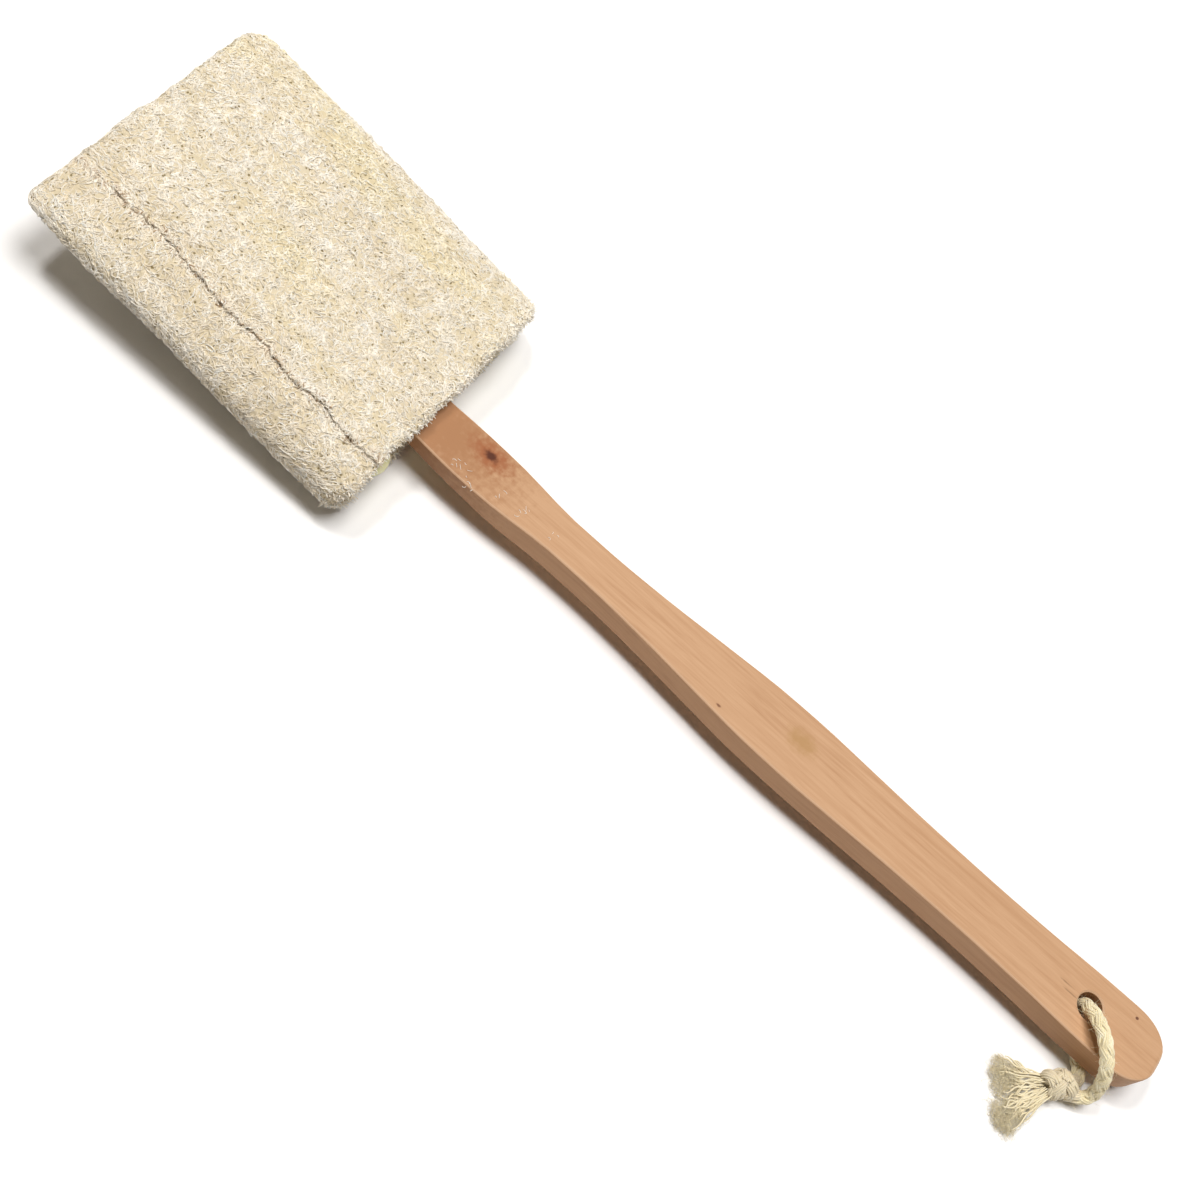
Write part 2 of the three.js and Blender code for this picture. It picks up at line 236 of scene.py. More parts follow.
# Painted shade in the crack at the overlap's edge.
CRACK_PAINTED_SHADE = (0.13, 0.06, 0.02)
FOAM_YELLOW = ((0.3, (0.78, 0.75, 0.42)), (0.7, (0.88, 0.86, 0.58)))
COTTON = ((0.3, (0.80, 0.70, 0.45)), (0.55, (0.86, 0.77, 0.53)), (0.75, (0.88, 0.82, 0.64)))
# Darker cotton: most on the knot, a little on the tails.
DARKER_COTTON = (0.68, 0.59, 0.43)
WOOD_GRAIN = (
    (0.25, (0.45, 0.245, 0.127)),
    (0.48, (0.53, 0.31, 0.172)),
    (0.75, (0.595, 0.365, 0.212)),
)
WOOD_STREAK = (0.47, 0.26, 0.135)
WOOD_CLOUD = (0.56, 0.335, 0.19)
# Painted shade on the handle's sides.
WOOD_SIDE_PAINTED_SHADE = (0.86, 0.79, 0.71)  # multiplies the colour of every face but the top
# Painted highlight along the arris.
ARRIS_PAINTED_HIGHLIGHT = (0.68, 0.45, 0.29)
# Marks on the handle's top, in mm from its start: x, y, length, width, colour, and the shares of
# the oval where the mark is still full and where it ends.
WOOD_MARKS = (
    # Painted shade: the head's shadow on the neck.
    (2, 0, 46, 30, (0.38, 0.185, 0.085), 0.2, 1.0),  # the darker neck by the head
    (22.3, 4.4, 12, 7, (0.33, 0.11, 0.04), 0.1, 1.0),  # the red halo of the knot
    (22.3, 4.4, 4.4, 2.6, (0.09, 0.022, 0.008), 0.25, 0.9),  # and its dark heart
    (162.3, 2.0, 9, 6, (0.44, 0.25, 0.11), 0.1, 1.0),  # the smudge
    (133, -9, 1.4, 0.7, (0.22, 0.1, 0.05), 0.3, 1.0),  # the pit by the near edge
    (307.4, 8.6, 0.8, 0.7, (0.16, 0.07, 0.04), 0.5, 1.0),  # the dot near the tip
    (283.5, -1.4, 5, 0.5, (0.33, 0.19, 0.1), 0.2, 1.0),  # two streaks by the hole
    (281, 0.6, 4, 0.35, (0.33, 0.19, 0.1), 0.2, 1.0),
)


def new_material(name):
    material = bpy.data.materials.new(name)
    material.use_nodes = True
    tree = material.node_tree
    return material, tree, tree.nodes["Principled BSDF"]


def add(tree, kind, inputs=None, **settings):
    """A new node. inputs is {socket name or number: a value, or the output that feeds it}."""
    node = tree.nodes.new(kind)
    for key, value in settings.items():
        setattr(node, key, value)
    for key, value in (inputs or {}).items():
        if isinstance(value, bpy.types.NodeSocket):
            tree.links.new(value, node.inputs[key])
        else:
            node.inputs[key].default_value = value
    return node


def ramp(tree, factor, *stops):
    """A colour ramp's output, through (position, colour) stops."""
    node = add(tree, "ShaderNodeValToRGB", {"Fac": factor})
    elements = node.color_ramp.elements
    while len(elements) < len(stops):
        elements.new(0.5)
    for element, (position, colour) in zip(elements, stops):
        element.position = position
        element.color = (*colour, 1)
    return node.outputs["Color"]


def mask(tree, factor, low, high):
    """0 below low, 1 above high and a smooth rise between. With low above high it falls instead."""
    settings = {"Value": factor, "From Min": low, "From Max": high}
    return add(tree, "ShaderNodeMapRange", settings, interpolation_type="SMOOTHSTEP").outputs["Result"]


def maths(tree, operation, *values):
    return add(tree, "ShaderNodeMath", dict(enumerate(values)), operation=operation).outputs[0]


def mix(tree, factor, below, above, blend="MIX"):
    """A colour mixed from two, each an output or a plain colour."""
    factor_socket, below_socket, above_socket, result = 0, 6, 7, 2
    colours = {below_socket: below, above_socket: above}
    for socket, colour in colours.items():
        if not isinstance(colour, bpy.types.NodeSocket):
            colours[socket] = (*colour, 1)
    inputs = {factor_socket: factor, **colours}
    return add(tree, "ShaderNodeMix", inputs, data_type="RGBA", blend_type=blend).outputs[result]


def place(tree, scale=(1, 1, 1), shift=(0, 0, 0)):
    """Object coordinates in mm from `shift`, itself in metres, and then scaled."""
    here = add(tree, "ShaderNodeTexCoord").outputs["Object"]
    factors = [s * 1000 for s in scale]
    offsets = [-o * f for o, f in zip(shift, factors)]
    inputs = {"Vector": here, "Scale": factors, "Location": offsets}
    return add(tree, "ShaderNodeMapping", inputs).outputs[0]


def noise(tree, where, scale, detail=3, roughness=0.5):
    inputs = {"Vector": where, "Scale": scale, "Detail": detail, "Roughness": roughness}
    return add(tree, "ShaderNodeTexNoise", inputs).outputs["Fac"]


def roughen(tree, shader, height, distance, strength=1):
    """Fine relief from a height. distance is in metres."""
    inputs = {"Height": height, "Distance": distance, "Strength": strength}
    bump = add(tree, "ShaderNodeBump", inputs)
    tree.links.new(bump.outputs["Normal"], shader.inputs["Normal"])


def attribute(tree, name):
    return add(tree, "ShaderNodeAttribute", attribute_name=name).outputs["Fac"]


def cells(tree, scale):
    """The distance from the middle of the nearest of many random cells."""
    inputs = {"Vector": place(tree), "Scale": scale}
    return add(tree, "ShaderNodeTexVoronoi", inputs).outputs["Distance"]


def loofah_colour(tree):
    """Cream, in soft stripes along the head: yellower towards the far side, greyer at the near one."""
    stripes = noise(tree, place(tree, (0.012, 0.06, 0.06)), 1.0, 2)
    patches = noise(tree, place(tree), 0.035, 3)
    across = add(tree, "ShaderNodeSeparateXYZ", {"Vector": place(tree)}).outputs["Y"]
    yellow = maths(tree, "MULTIPLY", across, 0.0038)
    yellow = maths(tree, "ADD", yellow, maths(tree, "MULTIPLY", stripes, 1.7))
    yellow = maths(tree, "ADD", yellow, maths(tree, "MULTIPLY", patches, 0.4))
    return ramp(tree, maths(tree, "SUBTRACT", yellow, 0.55), *LOOFAH_CREAM)


def loofah_fibre_material():
    material, tree, shader = new_material("loofah_fibre")
    tint = attribute(tree, "tint")
    colour = mix(tree, mask(tree, tint, 0.5, 1), loofah_colour(tree), PALE_FIBRE)
    colour = mix(tree, mask(tree, tint, 0.2, 0), colour, TAN_FIBRE)
    colour = mix(tree, attribute(tree, "browning_and_crack_shade"), colour, BROWNED_FIBRE)
    tree.links.new(colour, shader.inputs["Base Color"])
    shader.inputs["Roughness"].default_value = 0.62
    shader.inputs["Specular IOR Level"].default_value = 0.35
    shader.inputs["Sheen Weight"].default_value = 0.15
    shader.inputs["Sheen Roughness"].default_value = 0.5
    roughen(tree, shader, noise(tree, place(tree), 4.5, 3), 0.00012, 0.6)
    return material


def loofah_mat_material():
    """The matted layer below the loose fibres, with painted shade: darker all over, and darkest in its pits.
    """
    material, tree, shader = new_material("loofah_mat")
    pits = cells(tree, 0.62)
    spread = maths(tree, "MULTIPLY", noise(tree, place(tree), 0.5, 2), 0.3)
    uneven = maths(tree, "SUBTRACT", pits, spread)
    # Painted shade: the mat below the fibres is darker, and darkest in its pits.
    ground = mix(tree, 0.65, loofah_colour(tree), MAT_PAINTED_SHADE)
    colour = mix(tree, mask(tree, uneven, 0.17, 0.03), ground, PIT_PAINTED_SHADE)
    # Painted shade in the crack along the overlap's edge.
    colour = mix(tree, attribute(tree, "browning_and_crack_shade"), colour, CRACK_PAINTED_SHADE)
    tree.links.new(colour, shader.inputs["Base Color"])
    shader.inputs["Roughness"].default_value = 0.85
    roughen(tree, shader, pits, 0.0006)
    return material


def foam_material():
    material, tree, shader = new_material("foam")
    colour = ramp(tree, noise(tree, place(tree), 0.25, 3), *FOAM_YELLOW)
    tree.links.new(colour, shader.inputs["Base Color"])
    shader.inputs["Roughness"].default_value = 0.75
    shader.inputs["Subsurface Weight"].default_value = 0.25
    shader.inputs["Subsurface Radius"].default_value = (0.002, 0.0016, 0.0008)
    roughen(tree, shader, cells(tree, 2.2), 0.0002, 0.5)
    return material


def cotton_material():
    material, tree, shader = new_material("cotton")
    colour = ramp(tree, noise(tree, place(tree), 0.35, 4), *COTTON)
    # Darker where the tint is low: most on the knot, a little on the tails.
    colour = mix(tree, mask(tree, attribute(tree, "tint"), 0.3, 0), colour, DARKER_COTTON)
    tree.links.new(colour, shader.inputs["Base Color"])
    shader.inputs["Roughness"].default_value = 0.7
    shader.inputs["Sheen Weight"].default_value = 0.3
    shader.inputs["Sheen Roughness"].default_value = 0.4
    shader.inputs["Subsurface Weight"].default_value = 0.15
    shader.inputs["Subsurface Radius"].default_value = (0.001, 0.0009, 0.0006)
    roughen(tree, shader, noise(tree, place(tree), 3.5, 3), 0.0001, 0.7)
    return material


def spot(tree, x, y, length, width, start, end):
    """A mask of an oval on the handle's top with a ragged edge: 1 up to `start` of it, 0 from `end` on."""
    shape = (1 / length, 1 / width, 0)
    centre = (HANDLE_START[0] + x * MM, HANDLE_START[1] + y * MM, 0)
    inputs = {0: place(tree, shape, centre)}
    away = add(tree, "ShaderNodeVectorMath", inputs, operation="LENGTH").outputs["Value"]
    uneven = maths(tree, "SUBTRACT", noise(tree, place(tree), 0.5, 3), 0.5)
    ragged = maths(tree, "MULTIPLY", uneven, 0.9)
    return mask(tree, maths(tree, "ADD", away, ragged), end, start)


def wood_material():
    material, tree, shader = new_material("wood")
    grain_place = place(tree, (0.05, 1, 1))
    warp = noise(tree, place(tree, (0.015, 0.06, 0.06)), 1.0, 2)
    bent = add(tree, "ShaderNodeVectorMath", {0: grain_place, 1: warp}, operation="ADD").outputs[0]
    grain = noise(tree, bent, 0.9, 6, 0.62)
    streak = noise(tree, place(tree, (0.006, 0.3, 0.3)), 1.0, 3)
    cloud = noise(tree, place(tree, (0.02, 0.06, 0.06)), 1.0, 3)
    colour = ramp(tree, grain, *WOOD_GRAIN)
    colour = mix(tree, mask(tree, streak, 0.5, 0.95), colour, WOOD_STREAK)
    colour = mix(tree, mask(tree, cloud, 0.5, 0.8), colour, WOOD_CLOUD)
    for x, y, length, width, dark, start, end in WOOD_MARKS:
        colour = mix(tree, spot(tree, x, y, length, width, start, end), colour, dark)
    facing = add(tree, "ShaderNodeTexCoord").outputs["Normal"]
    level = add(tree, "ShaderNodeSeparateXYZ", {"Vector": facing}).outputs["Z"]
    # Painted shade on every face but the top.
    colour = mix(tree, mask(tree, level, 0.7, 0.3), colour, WOOD_SIDE_PAINTED_SHADE, "MULTIPLY")
    # A painted highlight along the arris between the top and the sides.
    arris = maths(tree, "MULTIPLY", mask(tree, level, 0.4, 0.6), mask(tree, level, 0.98, 0.8))
    colour = mix(tree, maths(tree, "MULTIPLY", arris, 0.7), colour, ARRIS_PAINTED_HIGHLIGHT)
    tree.links.new(colour, shader.inputs["Base Color"])
    shader.inputs["Roughness"].default_value = 0.55
    shader.inputs["Specular IOR Level"].default_value = 0.25
    roughen(tree, shader, grain, 0.0001, 0.35)
    return material


def wear(obj, material):
    obj.data.materials.clear()
    obj.data.materials.append(material)


# ---- The cord: a braided loop through the hole, a knot and two frayed tails ----

# All in mm, apart from the length. The places are from the hole's axis: along the handle, across
# it and up.
CORD_ROUTE = [
    [14.4, -15.6, 3.5], [13.4, -12.4, 3.3], [11, -9.2, 3.25], [7.6, -6, 3.25], [3.9, -3.2, 3.35],
    [0.7, -1, 5.3], [-0.7, 0.1, 9.6], [-1.3, 0.5, 13.4], [-1, 0, 17.2], [0.2, -2.2, 20.8],
    [2.4, -5, 23.6], [5.7, -8.5, 25.3], [9.7, -12.3, 24.8], [13.7, -15.4, 21.8], [16.7, -17, 17.2],
    [18.7, -17.6, 12.4], [19.6, -18.3, 8.8], [19, -19.9, 6.5], [16.8, -21.4, 5.6],
]
# Where its two ends run on into the knot.
CORD_STARTS = [12.4, -18.6, 4.5]
CORD_ENDS = [13.2, -22.4, 5.5]
CORD_STEPS = 170
BRAID_RADIUS = 1.98  # to the middle of the strands
BRAID_WEAVE = 0.26  # how far a strand goes in and out
BRAID_PITCH = 27  # length of one turn
STRANDS = 4  # each way round
YARN = 0.42  # radius
YARN_SPACING = 1.75 * YARN
SIDE_YARN_DROP = 0.1  # a strand's outer two yarns lie this much deeper
KNOT_CENTRE = [9, -22.9, 5.6]
KNOT_RADII = [6.6, 5.8, 5.4]
KNOT_HEADING = math.radians(-139.5)
# The knot's turns: lean and yaw in degrees, offset along the knot in mm, and width.
KNOT_TURNS = [(24, 8, -1.9, 0.92), (-34, -10, 0.2, 1.04), (28, -6, 2.3, 0.84)]
KNOT_STEPS = 72
# The tails: name, node, start, end, half width at both, threads and random seed.
TAILS = [
    ("cord_tail_upper_threads", "cord_tail_upper", (2.9, -26.2), (-9, -34.2), (1.9, 5.4), 24, 11),
    ("cord_tail_lower_threads", "cord_tail_lower", (6.6, -29.2), (0, -45.6), (1.9, 4.2), 32, 23),
]
PLIES = 5  # bundles that a tail's threads fall into
THREAD_STEPS = 20
THREAD_RADIUS = 0.33
# The fluff's lobes: how far across, as a share of the tail's half width, and how far back from its end.
FLUFF_LOBES = [[-0.8, 1.8], [-0.15, 0.6], [0.65, 1.6], [0.3, 6], [-0.4, 5.5]]
LOBE_RADIUS = 2.3
FLUFF_HOME = 1.6  # further than this from its lobe's middle, a fibre turns back
FLUFF = 620  # fibres in each tail
FLUFF_STEPS = 12
FLUFF_STRIDE = 0.5
FLUFF_RADIUS = 0.045
LOWEST = 0.15  # of any hair or fibre above the floor


def from_hole(points):
    """Metres in the part's frame, from mm from the hole's axis."""
    return np.asarray(points, float) * MM + HOLE


def braid(route):
    """The yarns of STRANDS strands each way round, that pass over and under each other."""
    run = np.concatenate([[0], np.cumsum(np.linalg.norm(np.diff(route, axis=0), axis=1))]) / MM
    side, rise = (v[0] for v in side_frames(unit(np.gradient(route, axis=0))[None]))
    weave = np.cos(2 * STRANDS * math.pi * run / BRAID_PITCH)
    lines = []
    for way in (1, -1):
        for strand in range(STRANDS):
            for yarn in (-1, 0, 1):
                turn = way * 2 * math.pi * run / BRAID_PITCH + strand * 2 * math.pi / STRANDS
                turn = turn + yarn * YARN_SPACING / BRAID_RADIUS
                out = BRAID_RADIUS + way * BRAID_WEAVE * weave - SIDE_YARN_DROP * abs(yarn)
                ring = np.cos(turn)[:, None] * side + np.sin(turn)[:, None] * rise
                lines.append(route + out[:, None] * MM * ring)
    return np.array(lines)


def braided(route, lines):
    """The mesh of a length of braid: its yarns, round a core that closes the gaps between them."""
    core_radius = (BRAID_RADIUS - SIDE_YARN_DROP) * MM
    core = tubes(route[None], np.full((1, len(route)), core_radius), sides=12)
    return joined([core, tubes(lines, np.full(lines.shape[:2], YARN * MM), sides=6)])


def hairs(centre_line, count, reach, length):
    """Fine loose hairs that lean off a line of points."""
    start = centre_line[random.integers(0, len(centre_line), count)]
    out = unit(random.normal(size=(count, 3)))
    drift = unit(random.normal(size=(count, 3)))
    t = np.linspace(0, 1, 6)[None, :, None]
    path = start[:, None] + out[:, None] * reach + out[:, None] * length * t * 0.5
    path = path + drift[:, None] * length * t * t
    path[..., 2] = np.maximum(path[..., 2], LOWEST * MM)
    return path


def make_cord_loop(material):
    """The loop itself, and the two short ends of the same braid that go with the knot."""
    whole = spline(from_hole([CORD_STARTS, *CORD_ROUTE, CORD_ENDS]), CORD_STEPS)
    lines = braid(whole)
    first = np.linalg.norm(whole - from_hole(CORD_ROUTE[0]), axis=1).argmin()
    last = np.linalg.norm(whole - from_hole(CORD_ROUTE[-1]), axis=1).argmin()
    route = whole[first : last + 1]
    loose = hairs(route, count=260, reach=2.8 * MM, length=2 * MM)
    fuzz = tubes(loose, tapered(*loose.shape[:2], 0.035 * MM), sides=3)
    points, faces = joined([braided(route, lines[:, first : last + 1]), fuzz])
    loop = make_object("hanging_cord_braid", points, faces, {"tint": np.full(len(points), 0.6)})
    wear(loop, material)
    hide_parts("hanging_cord")
    before, after = slice(0, first + 1), slice(last, None)
    return loop, [braided(whole[part], lines[:, part]) for part in (before, after)]


def knot_place(points):
    """From the knot's own axes, in mm with x towards the tails, to the part's frame in metres."""
    c, s = math.cos(KNOT_HEADING), math.sin(KNOT_HEADING)
    turn = np.array([[c, -s, 0], [s, c, 0], [0, 0, 1]])
    return from_hole(points @ turn.T + np.array(KNOT_CENTRE))


def knot_turn(lean, yaw, offset, wide):
    """One turn of the cord round the knot, on a plane that leans from square to its length."""
    lean, yaw = math.radians(lean), math.radians(yaw)
    normal = np.array([math.cos(lean) * math.cos(yaw), math.sin(lean), math.cos(lean) * math.sin(yaw)])
    first = unit(np.cross(normal, [0, 0, 1.0]))
    second = np.cross(normal, first)
    turn = np.linspace(-0.5 * math.pi, 1.5 * math.pi, KNOT_STEPS)[:, None]
    ring = (np.cos(turn) * first + np.sin(turn) * second) * wide
    return knot_place(ring * (np.array(KNOT_RADII) - BRAID_RADIUS - YARN) + np.array([offset, 0, 0]))


def make_knot(material, ends):
    """An overhand knot: crossing turns of the same braid, pulled tight."""
    turns = [knot_turn(*row) for row in KNOT_TURNS]
    wraps = [braided(turn, braid(turn)) for turn in turns]
    points, faces = joined([*wraps, *ends])
    clear_of_floor = 0.2 * MM
    points[:, 2] = np.maximum(points[:, 2], clear_of_floor)
    knot = make_object("cord_knot_wraps", points, faces, {"tint": np.full(len(points), 0.1)})
    wear(knot, material)
    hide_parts("cord_knot")
    return knot


def tail_threads(start, end, spread, count, seed):
    """Untwisted threads, in metres, that fan out from a tail's start to its end and cross on the way."""
    maker = np.random.default_rng(seed)
    start, end = (np.array([*p, 0.0]) for p in (start, end))
    along = end - start
    length = np.linalg.norm(along)
    along /= length
    across = np.array([-along[1], along[0], 0])
    t = np.linspace(0, 1, THREAD_STEPS)[None, :, None]
    column = (count, 1, 1)
    ply = maker.integers(0, PLIES, count)[:, None, None] / (PLIES // 2) - 1
    near = ply * 0.8 + maker.normal(0, 0.2, column)
    far = ply + maker.normal(0, 0.34, column)
    reach = maker.uniform(0.6, 1.08, column)
    wide = spread[0] * near * (1 - t) + spread[1] * 0.85 * far * t**1.3
    curl = maker.uniform(0.3, 1.3, column)
    curl = curl * np.sin(t * maker.uniform(6, 19, column) + maker.uniform(0, 6, column))
    knot_height, into_knot, lowest = 5.2, 1.5, 0.6
    high = knot_height * (1 - t) + maker.uniform(0.5, 4.2, column) * t
    high = high + maker.normal(0, 0.8, column) * (1 - t)
    path = start + along * (length * reach * t - into_knot) + across * (wide + curl * t)
    path = path + np.array([0, 0, 1]) * np.maximum(high, lowest)
    return from_hole(path)


def tail_fluff(start, end, spread, count, seed):
    """Fine fibres, in metres, that wander inside a few soft lobes round a tail's end."""
    maker = np.random.default_rng(seed)
    start, end = (np.array([*p, 0.0]) for p in (start, end))
    along = unit(end - start)
    across = np.array([-along[1], along[0], 0])
    lobe = maker.integers(0, len(FLUFF_LOBES), count)
    beside, back = np.array(FLUFF_LOBES)[lobe].T * [[spread], [1]]
    heading = maker.uniform(0, 2 * math.pi, count)
    out = np.sqrt(maker.uniform(0, 1, count)) * LOBE_RADIUS
    x, y = out * np.cos(heading) - back, out * np.sin(heading) + beside
    heading = maker.uniform(0, 2 * math.pi, count)
    bend = maker.normal(0, 0.25, count)
    places = []
    for _ in range(FLUFF_STEPS):
        places.append(np.stack([x, y], axis=-1))
        x, y = x + FLUFF_STRIDE * np.cos(heading), y + FLUFF_STRIDE * np.sin(heading)
        toward = np.arctan2(beside - y, -back - x)
        stray = np.hypot(beside - y, back + x)
        home = np.sin(toward - heading) * np.clip(stray - FLUFF_HOME, 0, 2) * 0.5
        heading = heading + bend + home
    flat = np.stack(places, axis=1)
    level = maker.uniform(0.25, 4.2, (count, 1)) * (1 - 0.1 * np.abs(flat[..., 1] / spread))
    level = level + 0.4 * np.sin(np.arange(FLUFF_STEPS) * maker.uniform(0.2, 0.8, (count, 1)))
    path = end + flat[..., :1] * along + flat[..., 1:] * across
    return from_hole(path + np.maximum(level, LOWEST)[..., None] * np.array([0, 0, 1]))


def make_tail(name, node, start, end, spread, threads, seed, material):
    lines = tail_threads(start, end, spread, threads, seed)
    thread_mesh = tubes(lines, tapered(*lines.shape[:2], THREAD_RADIUS * MM, tip=0.5), sides=5)
    lines = tail_fluff(start, end, spread[1], FLUFF, seed + 1)
    fluff_mesh = tubes(lines, tapered(*lines.shape[:2], FLUFF_RADIUS * MM), sides=3)
    points, faces = joined([thread_mesh, fluff_mesh])
    tail = make_object(name, points, faces, {"tint": np.full(len(points), 0.2)})
    wear(tail, material)
    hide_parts(node)
    return tail


def make_cords():
    material = cotton_material()
    loop, ends = make_cord_loop(material)
    knot = make_knot(material, ends)
    upper, lower = [make_tail(*row, material) for row in TAILS]
    for piece in (loop, knot, upper, lower):
        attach(piece, "cord")


# ---- The head's surface, level and in mm ----

SPACING = 0.66  # of the surface's points
WEB_DEPTH = 3  # depth of the rounding of the far edge
ROUND_STEPS = 10  # in the far edge's rounding and in the rim's
MOUTH_DEPTH = 26  # how far in from the mouth the inside is shown
THINNING = [[-137, 0.43], [-125, 0.64], [-92, 0.93], [-40, 1], [0, 1]]  # of its thickness
TOP_CROWN = 4  # how flat the section is on top
UNDERSIDE_CROWN = 6  # and underneath, where it is flatter
SIDE_ROUNDING = 2.2
MOUTH_SAG = 1  # how far the mouth's two lower corners hang down to the floor
SAG_REACH = 10  # in from the mouth
SAG_FROM_MIDDLE = 30
SAG_WIDTH = 7
# Waves have an amount, a wavelength and a random seed.
MOUTH_WAVES = (0.7, 26, 5)  # of the mouth's edge
MOUTH_REACH = 14  # where they have mostly died out
FAR_WAVES = (0.35, 17, 6)  # of the far edge
FAR_REACH = 9
RIDGES = (0.15, 11, 8)  # along the head
RIDGE_STRETCH = 0.16
LUMPS = (0.12, 13, 9)
PITS = (0.12, 2.2, 10)
PIT_WAVES = 9

SEAM = [[-137, -33.4], [-129, -33.7], [-66, -38.2], [0, -39.7]]  # the overlap's edge: x and y
SEAM_MIDDLE = -66
SEAM_START = -133  # the crack shows from here on
SEAM_FADE = 14  # and is at its full depth after this much more
SEAM_WAVES = ((0.9, 21, 3), (0.3, 5, 4))
SEAM_PULL = 8  # how far to each side the surface follows the seam's waves
LIP = 0.5  # height of the overlap's edge above the layer below
LIP_EASE = 15  # width of the strip that slopes up again from the lip
LIP_SWELL = 0.45  # how much higher the overlap itself is at its edge
LIP_WIDTH = 3
CRACK_DEPTH = 0.25
CRACK_SHIFT = 0.6 * SPACING
# Painted shade in the crack: how much of it each column at the crack gets.
CRACK_SHADE_AMOUNTS = [0.1, 0.9, 0.05]  # of the columns at the crack


def head_profile():
    """Rows of the surface: x, inset and share of the height, from the far edge to inside the mouth."""
    edge = np.linspace(0, math.pi / 2, ROUND_STEPS + 1)[:-1]
    far = np.stack([-HEAD_LENGTH + WEB_DEPTH * (1 - np.cos(edge)), 0 * edge, np.sin(edge)], axis=1)
    x = np.arange(-HEAD_LENGTH + WEB_DEPTH, -SHEET / 2, SPACING)
    outside = np.stack([x, 0 * x, 0 * x + 1], axis=1)
    turn = np.linspace(0, math.pi, ROUND_STEPS + 1)
    rim = np.stack([SHEET / 2 * (np.sin(turn) - 1), SHEET / 2 * (1 - np.cos(turn)), 0 * turn + 1], axis=1)
    x = np.arange(-SHEET / 2, -MOUTH_DEPTH, -2 * SPACING)[1:]
    inside = np.stack([x, 0 * x + SHEET, 0 * x + 1], axis=1)
    return np.concatenate([far, outside, rim, inside]), len(far) + len(outside) + len(rim) - 3


def pillow(angle, inset):
    """Across and up, in mm, of the head's section, drawn in by `inset` all round."""
    c, s = np.cos(angle), np.sin(angle)
    crown = np.where(s > 0, TOP_CROWN, UNDERSIDE_CROWN)
    across = (HEAD_WIDTH / 2 - inset) * np.sign(c) * np.abs(c) ** (2 / crown)
    high = (HEAD_THICKNESS / 2 - inset) * np.sign(s) * np.abs(s) ** (2 / SIDE_ROUNDING)
    return across, high


def section_angles():
    """Angles that space the surface's columns evenly, from the far side over the top and round."""
    fine = np.linspace(0, 2 * math.pi, 20001)
    outline = np.stack(pillow(fine, 0), axis=1)
    run = np.concatenate([[0], np.cumsum(np.linalg.norm(np.diff(outline, axis=0), axis=1))])
    count = round(run[-1] / SPACING)
    return np.interp(np.arange(count) * run[-1] / count, run, fine)


def head_to_part(points):
    """Metres in the part's frame, from mm in the level head's own."""
    c, s = math.cos(HEAD_PITCH), math.sin(HEAD_PITCH)
    turn = np.array([[c, 0, s], [0, 1, 0], [-s, 0, c]])
    return points @ turn.T * MM + HEAD_ORIGIN


def round_plan(x, y):
    """x drawn in near the sides, so that the head's corners are round from above."""
    radius = np.where((y < 0) & (x < -HEAD_LENGTH / 2), SHARP_CORNER, PLAN_CORNER)
    beyond = np.clip(np.abs(y) - (HEAD_WIDTH / 2 - radius), 0, radius)
    pull = radius - np.sqrt(radius**2 - beyond**2)
    return x - pull * (1 - 2 * np.clip(-x / HEAD_LENGTH, 0, 1))


def grid_normals(grid):
    down = np.gradient(grid, axis=0)
    round_it = np.roll(grid, -1, axis=1) - np.roll(grid, 1, axis=1)
    return unit(np.cross(round_it, down))


def lay_seam(x, y, z):
    """Lowers the near edge's strip below the lip. Also returns the crack's painted shade and the lip's
    column.
    """
    top = z > 0
    middle_row = x.shape[0] // 2
    on_top = np.where(top[middle_row])[0]
    lip = on_top[np.abs(y[middle_row, on_top] - through(SEAM, SEAM_MIDDLE)).argmin()]
    line = x[:, lip][:, None] * np.array([[1.0, 0.0]])
    wander = sum(amount * waves(line, wavelength, seed) for amount, wavelength, seed in SEAM_WAVES)
    target = through(SEAM, x[:, lip]) + wander
    shift = (target - y[:, lip])[:, None]
    spread = np.abs(np.arange(x.shape[1]) - lip) * SPACING
    y = y + shift * np.exp(-((spread / SEAM_PULL) ** 2)) * top
    away = y[:, lip][:, None] - y
    fade = np.clip((x[:, lip][:, None] - SEAM_START) / SEAM_FADE, 0, 1)
    strip = top & (np.arange(x.shape[1]) > lip)
    drop = LIP * np.clip(1 - away / LIP_EASE, 0, 1) ** 2
    z = z - np.where(strip, drop, 0) * fade
    raised = LIP_SWELL * np.exp(-((spread / LIP_WIDTH) ** 2))
    z = z + np.where(strip, 0, raised) * top * fade
    z[:, lip + 1] -= CRACK_DEPTH * fade[:, 0]
    y[:, lip + 1] += CRACK_SHIFT * fade[:, 0]
    # Painted shade in the crack, on the lip's column and the two after it.
    browning_and_crack_shade = np.zeros_like(z)
    browning_and_crack_shade[:, lip : lip + len(CRACK_SHADE_AMOUNTS)] = fade * np.array(CRACK_SHADE_AMOUNTS)
    return y, z, browning_and_crack_shade, lip


def mouth_sag(x, y, z):
    """How far the underside hangs down: most near the mouth's two lower corners, which touch the floor."""
    under = np.clip(-z / (HEAD_THICKNESS / 2), 0, 1)
    under = under * under * (3 - 2 * under)
    return MOUTH_SAG * under * np.exp(x / SAG_REACH - ((np.abs(y) - SAG_FROM_MIDDLE) / SAG_WIDTH) ** 2)


